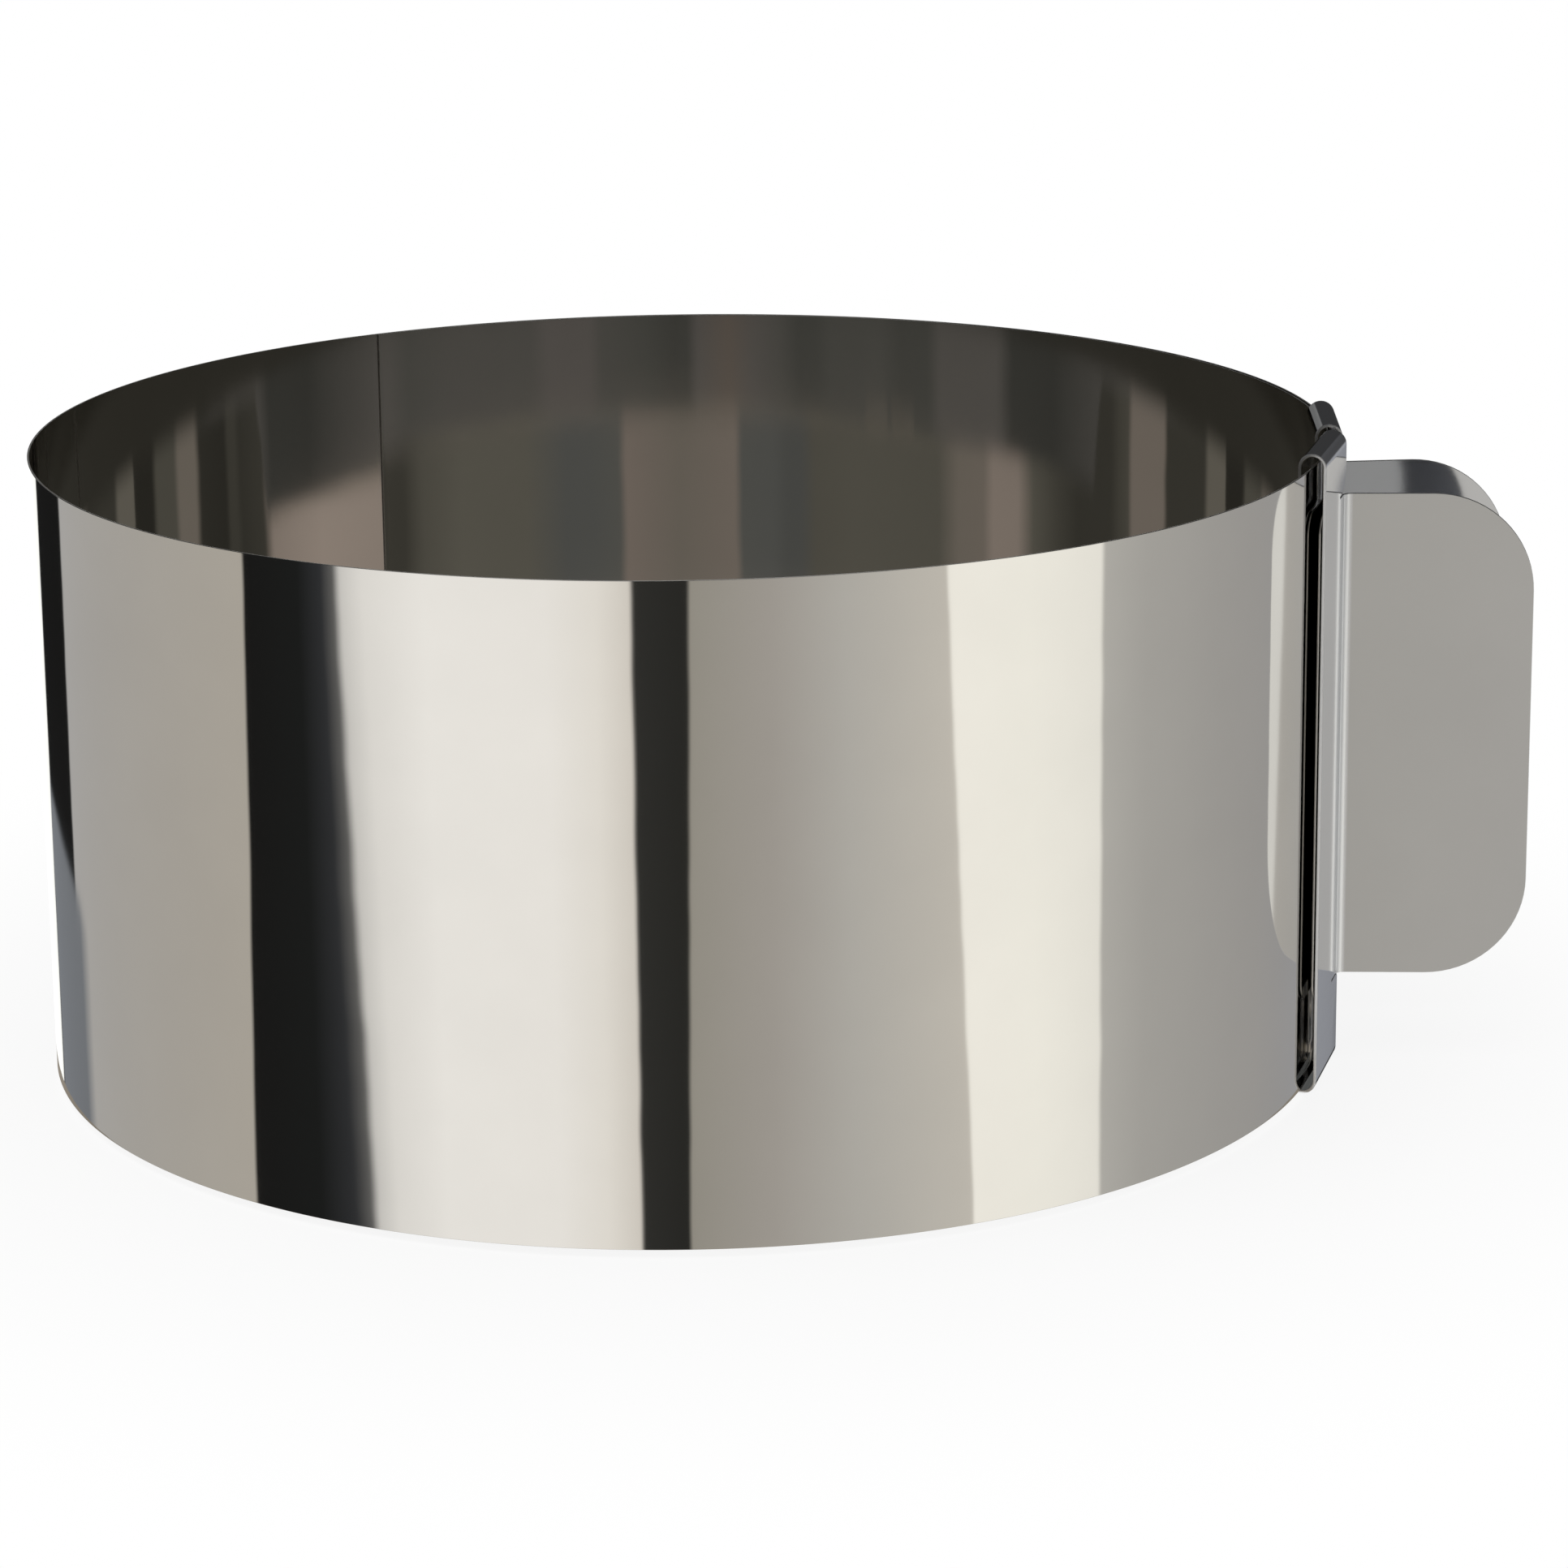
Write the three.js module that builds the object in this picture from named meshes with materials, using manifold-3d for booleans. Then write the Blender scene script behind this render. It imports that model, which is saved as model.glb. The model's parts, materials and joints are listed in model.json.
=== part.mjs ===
// Adjustable cake ring: one long steel strip rolled into an overlapping band, and two bent
// sheet handles whose hooks run along the band's rims. The front handle holds the strip's
// outer end, the strip's inner end slides through both handles, and the rear handle tilts
// on the strip to grip it. Millimetres, +Z up, handles towards +X.
import * as THREE from 'three';
import { mergeVertices } from 'three/addons/utils/BufferGeometryUtils.js';
import ManifoldModule from 'manifold-3d';

// Driving dimensions of the band
const RING_RADIUS = 123.3;       // inside of the band where it lies single
const BAND_HEIGHT = 120;
const BAND_GAUGE = 0.4;          // strip thickness
const OVERLAP_END = 120.7;        // degrees, where the inner end lies
const LAP_RELAX = 80;            // degrees over which the outer layer eases back to the ring
const TONGUE_LENGTH = 15;        // narrowed outer end of the strip
const TONGUE_CORNER = 4;

// Driving dimensions of a handle
const SHEET = 0.6;               // handle sheet thickness
const FLANGE_LENGTH = 22.5;      // along the band
const HOOK_WIDTH = 4.1;          // clear width inside a hook
const HOOK_LEG = 6;              // how far a hook's inner leg reaches past the rim
const FRONT_REACH = 34.3;        // flat length of the front tab past its bend
const REAR_REACH = 32.5;         // the same of the rear tab
const TAB_HEIGHT = 94.5;
const TAB_RAISE = 3.4;           // tab's middle above the band's middle
const TAB_CORNER = 19;
const BEND_RADIUS = 2;           // inside of the bend between flange and tab
const SLIT = 0.8;                // cut above and below the tab, so that it can be bent out
const SLIT_STOP = 4;             // metal left between a slit and the flange's front edge
const UPPER_EAR = 5;             // rounded corner of the flange above the upper slit
const LOWER_EAR = 1.2;           // the same below the lower slit

// Places of the handles round the ring, and the clearances
const FRONT_ANGLE = -14.2;       // degrees from +X, positive towards the back
const HANDLE_PITCH = 12.8;       // degrees between the two handles
const FRONT_TILT = -2.4;         // degrees that each handle stands turned on the strip
const REAR_TILT = -1.5;
const FRONT_LEAN = 12.5;         // degrees that each tab stops short of a square bend
const REAR_LEAN = 6;
const LAYER_GAP = 0.3;           // between the strip's two layers
const WELD_GAP = 0.3;            // between the outer end and the flange that holds it
const SPREAD = 0.7;              // how much further the outer end stands off in its flange
const SPREAD_FADE = 15;          // degrees back from there until the layers lie together
const HOOK_SEAT = 1;             // under the band's lower edge
const HOOK_HEADROOM = 1.95;      // over the band's upper rim
const END_INSET = 0.6;           // outer end lies this far inside the flange's front edge
const CUT = 1;                   // how far a cutter passes the material
const ARC_STEP = 3;              // degrees per facet of the band
const CURVE_POINTS = 12;         // points on each bend of a handle

// Derived sizes
const rad = THREE.MathUtils.degToRad;
const bandBottom = HOOK_SEAT + SHEET;
const bandTop = bandBottom + BAND_HEIGHT;
const singleRadius = RING_RADIUS + BAND_GAUGE / 2;
const layerStep = BAND_GAUGE + LAYER_GAP;
const endRadius = singleRadius + layerStep + SPREAD;
const flangeIn = endRadius + BAND_GAUGE / 2 + WELD_GAP;
const flangeOut = flangeIn + SHEET;
const rearAngle = FRONT_ANGLE + HANDLE_PITCH;
const halfFlange = FLANGE_LENGTH / 2;
const outerEndAngle = FRONT_ANGLE - THREE.MathUtils.radToDeg(
  Math.asin((halfFlange - END_INSET) / endRadius));
const tabMiddle = bandBottom + BAND_HEIGHT / 2 + TAB_RAISE;
const tabBottom = tabMiddle - TAB_HEIGHT / 2;
const tabTop = tabMiddle + TAB_HEIGHT / 2;
const bendStart = halfFlange - BEND_RADIUS - SHEET;

const kernel = await ManifoldModule();
kernel.setup();

// Closed geometry to solid, and back to flat-shaded geometry
function toSolid(geometry) {
  const bare = geometry.clone();
  bare.deleteAttribute('normal');
  bare.deleteAttribute('uv');
  const merged = mergeVertices(bare, 1e-5);
  const mesh = new kernel.Mesh({
    numProp: 3,
    vertProperties: new Float32Array(merged.attributes.position.array),
    triVerts: new Uint32Array(merged.index.array),
  });
  return new kernel.Manifold(mesh);
}

function toGeometry(solid) {
  const mesh = solid.getMesh();
  const geometry = new THREE.BufferGeometry();
  geometry.setAttribute('position', new THREE.BufferAttribute(mesh.vertProperties.slice(), 3));
  geometry.setIndex(new THREE.BufferAttribute(mesh.triVerts.slice(), 1));
  const flat = geometry.toNonIndexed();
  flat.computeVertexNormals();
  return flat;
}

// Prisms drawn in one of the three planes. The drawing's two axes and the sweep are given.
const FLAT = [[1, 0, 0], [0, 1, 0], [0, 0, 1]];      // drawn in x, y and swept up z
const SIDE = [[0, 1, 0], [0, 0, 1], [1, 0, 0]];      // drawn in y, z and swept along x
const ACROSS = [[1, 0, 0], [0, 0, 1], [0, -1, 0]];   // drawn in x, z and swept against y

function prism(shape, plane, from, length) {
  const geometry = new THREE.ExtrudeGeometry(shape, {
    depth: length, bevelEnabled: false, curveSegments: CURVE_POINTS,
  });
  const [u, v, sweep] = plane.map((axis) => new THREE.Vector3(...axis));
  geometry.applyMatrix4(new THREE.Matrix4().makeBasis(u, v, sweep));
  geometry.translate(...sweep.multiplyScalar(from).toArray());
  return toSolid(geometry);
}

function rectangle(low, high) {
  return new THREE.Shape([
    new THREE.Vector2(low[0], low[1]), new THREE.Vector2(high[0], low[1]),
    new THREE.Vector2(high[0], high[1]), new THREE.Vector2(low[0], high[1]),
  ]);
}

// Radius of the strip's middle line at an angle counted from +X: the outer end stands off
// in its flange, the outer layer closes on the inner one, then eases down to the ring.
function stripRadius(angle) {
  const lap = 1 - THREE.MathUtils.smoothstep(angle, OVERLAP_END, OVERLAP_END + LAP_RELAX);
  const closed = THREE.MathUtils.clamp((angle - FRONT_ANGLE) / SPREAD_FADE, 0, 1);
  return singleRadius + layerStep * lap + SPREAD * (1 - closed) ** 2;
}

// The strip, swept as one spiral outline from its outer end to its inner end
function makeBand() {
  const innerEndAngle = OVERLAP_END + 360;
  const steps = Math.ceil((innerEndAngle - outerEndAngle) / ARC_STEP);
  const along = (offset) => Array.from({ length: steps + 1 }, (_, i) => {
    const angle = THREE.MathUtils.lerp(outerEndAngle, innerEndAngle, i / steps);
    const radius = stripRadius(angle) + offset;
    return new THREE.Vector2(radius * Math.cos(rad(angle)), radius * Math.sin(rad(angle)));
  });
  const outline = [...along(BAND_GAUGE / 2), ...along(-BAND_GAUGE / 2).reverse()];
  const strip = prism(new THREE.Shape(outline), FLAT, bandBottom, BAND_HEIGHT);
  return strip.subtract(tongueCutter());
}

// What is cut from the outer end, above and below the narrow tongue held by the flange
function tongueCutter() {
  const end = -halfFlange + END_INSET - CUT;
  const tip = -halfFlange + END_INSET;
  const root = tip + TONGUE_LENGTH;
  const c = TONGUE_CORNER;
  const tongue = new THREE.Shape();
  tongue.moveTo(root + CUT, tabBottom);
  tongue.lineTo(root + CUT, tabTop);
  tongue.lineTo(tip + c, tabTop);
  tongue.absarc(tip + c, tabTop - c, c, Math.PI / 2, Math.PI, false);
  tongue.lineTo(tip, tabBottom + c);
  tongue.absarc(tip + c, tabBottom + c, c, Math.PI, Math.PI * 1.5, false);
  const around = rectangle([end, bandBottom - CUT], [root, bandTop + CUT]);
  // starts between the two layers, so that only the outer one is cut
  const between = (singleRadius + endRadius) / 2;
  const depth = flangeOut - between;
  const cutter = prism(around, SIDE, between, depth)
    .subtract(prism(tongue, SIDE, between - CUT, depth + 2 * CUT));
  return cutter.rotate([0, 0, FRONT_ANGLE]);
}

// Flange with a hook over the rim and a hook under the lower edge, seen along the band
function hookProfile() {
  const middle = flangeIn - HOOK_WIDTH / 2;
  const legOut = flangeIn - HOOK_WIDTH;
  const legIn = legOut - SHEET;
  const inner = HOOK_WIDTH / 2;
  const outer = inner + SHEET;
  const over = bandTop + HOOK_HEADROOM - inner;
  const under = bandBottom - HOOK_SEAT + inner;
  const profile = new THREE.Shape();
  profile.moveTo(flangeOut, under);
  profile.lineTo(flangeOut, over);
  profile.absarc(middle, over, outer, 0, Math.PI, false);
  profile.lineTo(legIn, bandTop - HOOK_LEG);
  profile.lineTo(legOut, bandTop - HOOK_LEG);
  profile.lineTo(legOut, over);
  profile.absarc(middle, over, inner, Math.PI, 0, true);
  profile.lineTo(flangeIn, under);
  profile.absarc(middle, under, inner, 0, -Math.PI, true);
  profile.lineTo(legOut, bandBottom + HOOK_LEG);
  profile.lineTo(legIn, bandBottom + HOOK_LEG);
  profile.lineTo(legIn, under);
  profile.absarc(middle, under, outer, -Math.PI, 0, false);
  return profile;
}

// Window left in the flange where the tab is bent out: a slit with a round end above and
// below the tab, and past each slit the rounded corner of the flange
function bendWindow() {
  const r = SLIT / 2;
  const up = UPPER_EAR;
  const low = LOWER_EAR;
  const stop = -halfFlange + SLIT_STOP + r;
  const window = new THREE.Shape();
  window.moveTo(halfFlange + CUT, tabBottom - SLIT - low);
  window.lineTo(halfFlange + CUT, tabTop + SLIT + up);
  window.lineTo(halfFlange, tabTop + SLIT + up);
  window.absarc(halfFlange - up, tabTop + SLIT + up, up, 0, -Math.PI / 2, true);
  window.lineTo(stop, tabTop + SLIT);
  window.absarc(stop, tabTop + r, r, Math.PI / 2, Math.PI * 1.5, false);
  window.lineTo(bendStart, tabTop);
  window.lineTo(bendStart, tabBottom);
  window.lineTo(stop, tabBottom);
  window.absarc(stop, tabBottom - r, r, Math.PI / 2, Math.PI * 1.5, false);
  window.lineTo(halfFlange - low, tabBottom - SLIT);
  window.absarc(halfFlange - low, tabBottom - SLIT - low, low, Math.PI / 2, 0, true);
  return window;
}

// The tab's sheet seen from above: the bend at the flange's rear edge, then straight out
function tabProfile(lean, reach) {
  const x = flangeOut + BEND_RADIUS;
  const turn = Math.PI / 2 + rad(lean);
  const out = new THREE.Vector2(Math.cos(rad(lean)), Math.sin(rad(lean))).multiplyScalar(reach);
  const at = (radius) => new THREE.Vector2(
    x + radius * Math.cos(turn), bendStart + radius * Math.sin(turn)).add(out);
  const outer = at(BEND_RADIUS + SHEET);
  const inner = at(BEND_RADIUS);
  const profile = new THREE.Shape();
  profile.moveTo(flangeIn, bendStart);
  profile.absarc(x, bendStart, BEND_RADIUS + SHEET, Math.PI, turn, true);
  profile.lineTo(outer.x, outer.y);
  profile.lineTo(inner.x, inner.y);
  profile.absarc(x, bendStart, BEND_RADIUS, turn, Math.PI, false);
  return profile;
}

// The tab's face, with its two outer corners rounded
function tabFace(tip) {
  const c = TAB_CORNER;
  const face = new THREE.Shape();
  face.moveTo(flangeIn - CUT, tabBottom);
  face.lineTo(tip - c, tabBottom);
  face.absarc(tip - c, tabBottom + c, c, -Math.PI / 2, 0, false);
  face.lineTo(tip, tabTop - c);
  face.absarc(tip - c, tabTop - c, c, 0, Math.PI / 2, false);
  face.lineTo(flangeIn - CUT, tabTop);
  return face;
}

// One handle, made at the +X side of the ring: its tab leans back from square by the given
// degrees, and the whole is turned about the flange's middle by its tilt on the strip
function makeHandle(lean, tilt, reach) {
  const hooks = prism(hookProfile(), ACROSS, -halfFlange, FLANGE_LENGTH)
    .subtract(prism(bendWindow(), SIDE, flangeIn - CUT, SHEET + 2 * CUT));
  const profile = tabProfile(lean, reach);
  const tip = Math.max(...profile.getPoints(CURVE_POINTS).map((p) => p.x));
  const back = halfFlange + reach * Math.sin(rad(lean)) + CUT;
  const tab = prism(profile, FLAT, tabBottom, TAB_HEIGHT)
    .intersect(prism(tabFace(tip), ACROSS, -back, 2 * back));
  const pivot = flangeIn + SHEET / 2;
  return hooks.add(tab).translate([-pivot, 0, 0]).rotate([0, 0, tilt]).translate([pivot, 0, 0]);
}

function steel(roughness) {
  return new THREE.MeshStandardMaterial({ color: 0xc8c5bf, metalness: 1, roughness });
}

function addPart(group, name, solid, material, angle = 0) {
  const mesh = new THREE.Mesh(toGeometry(solid), material);
  mesh.name = name;
  mesh.rotation.z = rad(angle);
  group.add(mesh);
  return mesh;
}

// The assembly stands with its lowest point at z = 0, centred on its own outline
const cakeRing = new THREE.Group();
cakeRing.name = 'adjustable_cake_ring';
addPart(cakeRing, 'band', makeBand(), steel(0.12));
addPart(cakeRing, 'front_handle', makeHandle(FRONT_LEAN, FRONT_TILT, FRONT_REACH), steel(0.16),
  FRONT_ANGLE);
addPart(cakeRing, 'rear_handle', makeHandle(REAR_LEAN, REAR_TILT, REAR_REACH), steel(0.16),
  rearAngle);

cakeRing.updateMatrixWorld(true);
const outline = new THREE.Box3().setFromObject(cakeRing, true);
const middle = outline.getCenter(new THREE.Vector3());
cakeRing.position.set(-middle.x, -middle.y, -outline.min.z);
cakeRing.updateMatrixWorld(true);

export default cakeRing;
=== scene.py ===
"""Adjustable cake ring: a long steel strip rolled into an overlapping ring, and two bent
sheet handles that hook over its rims. The strip is cut and finished flat and then rolled, and
each handle is folded from its sheet, as the real ones are. Metres, +Z up, handles towards +X.
"""

import json
import math

import bmesh
import bpy
from bpy.props import FloatProperty, FloatVectorProperty, IntProperty, PointerProperty
from mathutils import Matrix, Quaternion, Vector


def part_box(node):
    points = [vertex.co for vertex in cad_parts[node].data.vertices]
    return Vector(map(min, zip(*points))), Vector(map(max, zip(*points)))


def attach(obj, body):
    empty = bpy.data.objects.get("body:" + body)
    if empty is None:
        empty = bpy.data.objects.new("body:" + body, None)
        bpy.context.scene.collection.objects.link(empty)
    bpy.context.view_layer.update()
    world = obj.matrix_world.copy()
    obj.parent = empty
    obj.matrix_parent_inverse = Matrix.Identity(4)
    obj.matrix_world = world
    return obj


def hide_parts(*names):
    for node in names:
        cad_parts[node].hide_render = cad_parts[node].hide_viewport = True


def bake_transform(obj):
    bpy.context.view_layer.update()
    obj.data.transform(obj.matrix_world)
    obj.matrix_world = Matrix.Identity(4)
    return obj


bl_info = {
    "name": "Adjustable cake ring",
    "version": (1, 0, 0),
    "blender": (4, 5, 0),
    "location": "3D View > Sidebar > Cake ring",
    "description": "Rolled strip and hooked sheet handles of a cake ring, on a plain stage",
    "category": "Add Mesh",
}

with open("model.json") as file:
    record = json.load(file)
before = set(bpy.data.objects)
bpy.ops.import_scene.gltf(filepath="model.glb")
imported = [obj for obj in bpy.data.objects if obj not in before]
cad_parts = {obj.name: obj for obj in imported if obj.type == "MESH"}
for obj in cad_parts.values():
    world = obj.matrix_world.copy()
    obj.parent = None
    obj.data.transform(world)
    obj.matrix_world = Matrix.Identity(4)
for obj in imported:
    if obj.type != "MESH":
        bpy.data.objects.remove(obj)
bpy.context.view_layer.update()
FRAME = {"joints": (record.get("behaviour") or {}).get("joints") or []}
JOINTS = {joint["name"]: joint for joint in FRAME["joints"]}
AXIS = Vector(JOINTS["size_adjust"]["pos_m"])  # on the ring's axis, at the strip's mid-height
STRIP_LOW, STRIP_HIGH = (corner.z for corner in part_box("band"))

MM = 0.001
TURN, QUARTER = 360.0, 90.0  # degrees
WELD = 1e-6  # metres within which points are merged or lie on a cut
NEAR = 1e-5  # metres within which a point counts as lying at a place
RUN_MAP = "along_and_up"  # the flat strip laid out in metres
CUT_EDGE = "cut_edge"  # 1 on the sheared edges of a sheet, 0 on its polished faces
DRAWN = "drawn"  # 1 where a bend has stretched the sheet most, 0 where it is flat

# How finely the rounded edges, ears and corners are drawn.
EDGE_STEPS, EAR_STEPS, CORNER_STEPS = 2, 8, 18
TONGUE_CUTS = range(105, 180, 15)  # degrees at which cuts round off a corner of the tongue
SHEARED_OVER = math.radians(50)  # edges sharper than this are rounded
SMOOTH_UNDER = math.radians(40)  # edges blunter than this are shaded smooth
BEND_MARGIN = 0.1  # of the sheet, past the outer face of a bend that is marked as drawn

# Uneven tone and polish of the steel.
CLOUD_SCALE = 38.0  # patches in a metre
CLOUD_RANGE = (0.3, 0.7)
CLOUD_DIM = 0.965  # the dimmest patches, as a share of the steel's colour
POLISH_SPREAD = 0.2  # by which share the rolling lines vary the roughness

# The studio is seen only in the steel. Its softboxes, grey cards and black flags stand all round,
# counted from the camera's side, positive to the right: (degrees, colour). Two close stops are an
# edge of one of them.
ROOM_GREY = (0.036, 0.036, 0.037)
STUDIO_ROUND = (
    # a softbox behind on the left
    (-180.0, (0.97, 0.98, 0.96)),
    (-152.0, (0.95, 0.96, 0.94)),
    # a black flag
    (-151.4, (0.010, 0.010, 0.010)),
    (-135.8, (0.010, 0.010, 0.010)),
    # a grey card, warmer towards the front
    (-135.2, (0.42, 0.415, 0.41)),
    (-79.1, (0.485, 0.458, 0.415)),
    # a black flag with a soft right edge
    (-78.4, (0.012, 0.012, 0.012)),
    (-66.0, (0.014, 0.015, 0.015)),
    (-60.5, (0.034, 0.036, 0.040)),
    (-57.6, (0.13, 0.13, 0.13)),
    # the main softbox
    (-56.0, (0.70, 0.695, 0.685)),
    (-52.0, (0.88, 0.87, 0.855)),
    (-42.0, (1.0, 0.99, 0.975)),
    (-22.0, (1.0, 0.985, 0.965)),
    (-14.0, (0.93, 0.905, 0.865)),
    (-8.6, (0.79, 0.755, 0.71)),
    # a narrow black flag in front
    (-8.0, (0.034, 0.034, 0.032)),
    (0.1, (0.026, 0.026, 0.024)),
    # a grey card, brighter to the right
    (0.7, (0.36, 0.345, 0.31)),
    (14.0, (0.42, 0.40, 0.375)),
    (27.0, (0.52, 0.51, 0.485)),
    (46.0, (0.64, 0.615, 0.57)),
    # the second softbox
    (46.6, (1.06, 1.045, 0.99)),
    (60.0, (1.05, 1.04, 0.98)),
    (73.6, (0.97, 0.96, 0.91)),
    # a grey card, dimmer towards the back
    (74.4, (0.52, 0.515, 0.495)),
    (84.0, (0.45, 0.445, 0.43)),
    (117.0, (0.37, 0.365, 0.36)),
    (138.0, (0.32, 0.322, 0.335)),
    (149.9, (0.245, 0.252, 0.272)),
    # the dim room behind
    (150.6, ROOM_GREY),
    (180.0, ROOM_GREY),
)

# How far those edges lean, in degrees over the stretch of studio that the wall's height mirrors.
STUDIO_LEAN = (
    (-170.0, 2.0), (-135.0, 2.0), (-100.0, 2.7), (-79.0, 2.8), (-66.0, -0.4),
    (-57.0, -4.4), (-38.0, -1.0), (-8.0, 0.0), (0.3, 1.5), (20.0, 0.0),
    (46.0, -5.3), (60.0, -2.0), (74.0, 0.0), (170.0, 0.0),
)
LEAN_LIMIT = 6.0  # the furthest that an edge may lean either way

# Heights in the studio: the cards fade out between the first two, and far above them a little of
# their light comes back between the other two.
CARD_FADE, CARD_TOP = -0.10, 0.04
DUSK_FROM, DUSK_TO = 0.25, 0.55
DUSK_LOW, DUSK_HIGH = 0.10, 0.18  # shares of the cards' light there
CARD_FOOT = 0.985  # share of it at the lowest part that is mirrored

# The black flag at the far left stops short of the floor, with a slanted foot.
FLAG_FROM, FLAG_TO = -150.0, -134.0
FLAG_LEFT_FADE, FLAG_RIGHT_FADE = (-152.16, -151.08), (-129.68, FLAG_TO)
FLAG_FOOT, FLAG_SLANT = -0.345, 1.0  # height at its left end, and metres lower in a whole turn
FLAG_SOFT = 0.005  # half the height over which the foot fades
FLAG_GAP = (0.18, 0.192, 0.212)  # what shows below it

# Painted shade and reflection on a glowing sheet inside the wall, seen only in the steel: the shade
# that one side of the inner wall mirrors from the foot of the other, counted the same way:
# (degrees, brightness).
SHADE_ROUND = (
    (-180.0, 0.16), (-171.5, 0.16), (-169.5, 0.055), (-153.0, 0.055), (-151.5, 0.22),
    (-139.0, 0.22), (-137.5, 0.09), (-134.0, 0.075), (-131.0, 0.052), (-119.0, 0.05),
    (-112.0, 0.075), (-104.0, 0.12), (-99.0, 0.30), (-91.0, 0.31), (-88.0, 0.21),
    (-80.0, 0.20), (-74.0, 0.117), (-49.0, 0.12), (-38.0, 0.112), (-34.0, 0.098),
    (-30.0, 0.098), (-26.0, 0.112), (-17.4, 0.115), (-15.4, 0.225), (0.5, 0.195),
    (15.0, 0.24), (17.0, 0.12), (24.0, 0.11), (31.0, 0.108), (42.0, 0.135),
    (61.0, 0.138), (73.0, 0.11), (79.0, 0.062), (84.5, 0.062), (86.0, 0.38),
    (106.0, 0.41), (123.0, 0.33), (126.0, 0.06), (134.0, 0.048), (136.0, 0.065),
    (138.5, 0.065), (140.0, 0.035), (150.0, 0.04), (152.0, 0.20), (159.0, 0.20),
    (161.0, 0.10), (169.0, 0.10), (171.0, 0.03), (180.0, 0.03),
)
# The same for what is mirrored once more, near the upper rim.
SHADE_AGAIN = (
    (-180.0, 0.11), (-174.0, 0.12), (-165.0, 0.14), (-146.0, 0.165), (-141.0, 0.21),
    (-123.0, 0.21), (-115.0, 0.175), (-77.0, 0.178), (-55.0, 0.155), (-43.0, 0.19),
    (0.0, 0.085), (22.0, 0.09), (30.0, 0.19), (58.0, 0.19), (64.0, 0.13),
    (77.0, 0.125), (87.0, 0.152), (110.0, 0.148), (117.0, 0.125), (125.0, 0.122),
    (134.0, 0.165), (146.0, 0.20), (157.0, 0.233), (171.0, 0.20), (176.0, 0.115),
)
SHADE_DEEP = (0.062, 0.060, 0.052)  # painted reflection of what is mirrored once more from higher up the wall
SHADE_FOOT = (0.046, 0.041)  # heights between which that gives way to the row above
SHADE_TOP, SHADE_TOP_RIGHT, SHADE_TOP_FAR = 0.050, 0.0445, 0.077  # how high the shade stands
SHADE_RIGHT = (84.0, 86.0)  # degrees between which its top steps down on the right
SHADE_FAR = (124.0, 128.0)  # degrees off the front between which it rises again
SHADE_SOFT = 0.005  # half the height over which its top fades
SECOND_BOUNCE = 1.5  # more reflections than this are what is mirrored once more

# Colour of the shade: neutral while it is deep, then red is kept and green and blue are taken off.
SHADE_NEUTRAL = (1.0, 1.025, 0.98)
SHADE_WARM = (0.0, 0.07, 0.18)  # taken off where light falls in
SHADE_BRIGHT = (0.0, 0.11, 0.06)  # taken off besides where much light does
WARM_OVER = 0.03  # brightness past the deep shade over which it turns warm
BRIGHT_FROM, BRIGHT_OVER = 0.14, 0.10  # brightness from which and over which it turns bright
DEEP_ONCE, DEEP_ONCE_REACH = 0.112, 35.0  # the deep shade, and within how many degrees of the front
DEEP_AGAIN = 0.21  # the deep shade in what is mirrored once more

# The stage: heights and distances from the ring's axis, and shares of white on the floor.
FLOOR_WIDTH = 12.0
FLOOR_WHITENS = (0.125, 0.26)  # from beside the ring to where the floor is white
FLOOR_BESIDE = 0.87  # share of white beside the ring
FLOOR_INSIDE, FLOOR_WALL = 0.25, (0.1135, 0.1185)  # what is left of it inside, and where that ends
SHADED_FLOOR_LIFT, SHADED_FLOOR_MARGIN = 0.0003, 0.002
SHADED_FLOOR_DIMS = (0.06, 0.11)  # painted shade: from the middle's colour to that of the darker edge
SHADE_SPAN, SHADE_CLEARANCE = (0.001, 0.101), 0.0011  # its heights, and how far inside the strip
STUDIO_SPAN = (-4.4, 0.6)  # lower and upper end of the round wall that holds the cards
CEILING_HEIGHT, CEILING_GREY = 0.6, (0.06, 0.06, 0.06)
OVERHEAD_HEIGHT, OVERHEAD_RADIUS = 0.59, 0.28
LAMP_PLACE, LAMP_SIZE, LAMP_POWER = (-0.5, -0.5, 1.6), 1.4, 9.0
EVEN_LIGHT = 0.62  # strength of the soft light from all round
WHITE = (1.0, 1.0, 1.0)
SENSOR_WIDTH = 36.0
CLIP_NEAR, CLIP_FAR = 0.01, 50.0
BOUNCES = 16


# Settings

def number(name, description, value, **kind):
    return FloatProperty(name=name, description=description, default=value, **kind)


def length(name, description, millimetres):
    return number(name, description, millimetres * MM, unit="LENGTH", precision=5)


def angle(name, description, degrees):
    return number(name, description, math.radians(degrees), subtype="ANGLE")


def share(name, description, value):
    return number(name, description, value, min=0.0, max=1.0, subtype="FACTOR")


def colour(name, description, value):
    return FloatVectorProperty(
        name=name, description=description, default=value, subtype="COLOR", min=0.0, max=1.0
    )


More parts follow.
